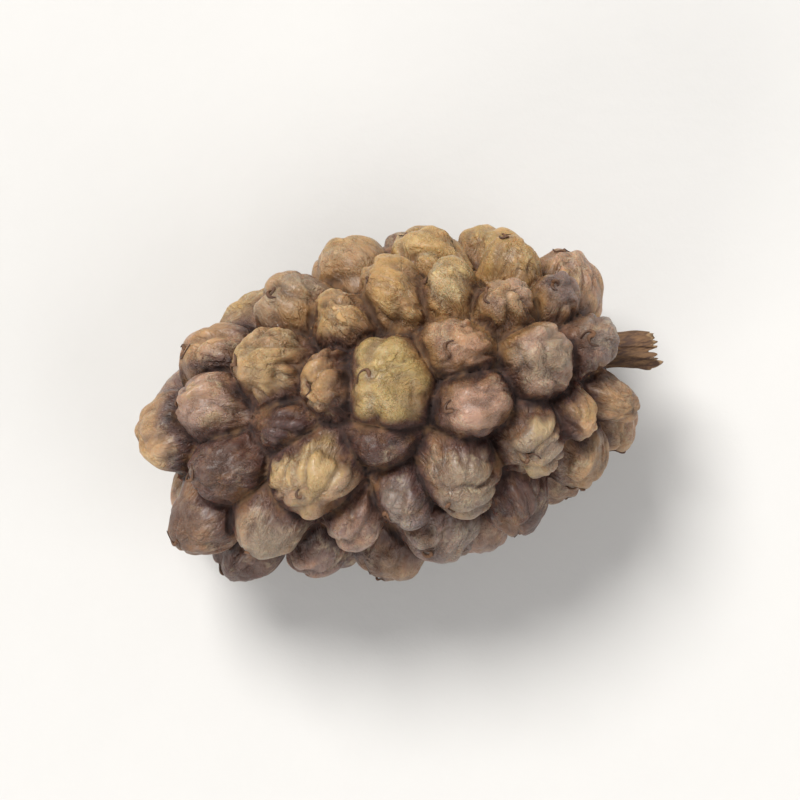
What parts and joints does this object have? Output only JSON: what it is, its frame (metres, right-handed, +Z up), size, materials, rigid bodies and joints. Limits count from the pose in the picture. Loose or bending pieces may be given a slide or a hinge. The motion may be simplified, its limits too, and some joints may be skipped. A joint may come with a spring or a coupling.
{
  "type": "dried mulberry",
  "caption": "Single dried black mulberry lying on its side: tan and purple-brown drupelets packed round an oval body, with the dry stub of its stalk at one end.",
  "frame": {"origin": "on the surface it rests on, under the middle of its bounding box", "axes": "+Z up from the surface it rests on, X along the fruit from the tip at -X to the stalk at +X, Y across it"},
  "size_m": [0.017, 0.0114, 0.0099],
  "materials": {
    "dried_flesh": "satin wrinkled dried skin, tan on the crests and dark purple-brown in the folds",
    "dry_stalk": "matte fibrous dried stalk"
  },
  "bodies": {
    "root": {"mulberry": "dried_flesh"}
  },
  "joints": []
}
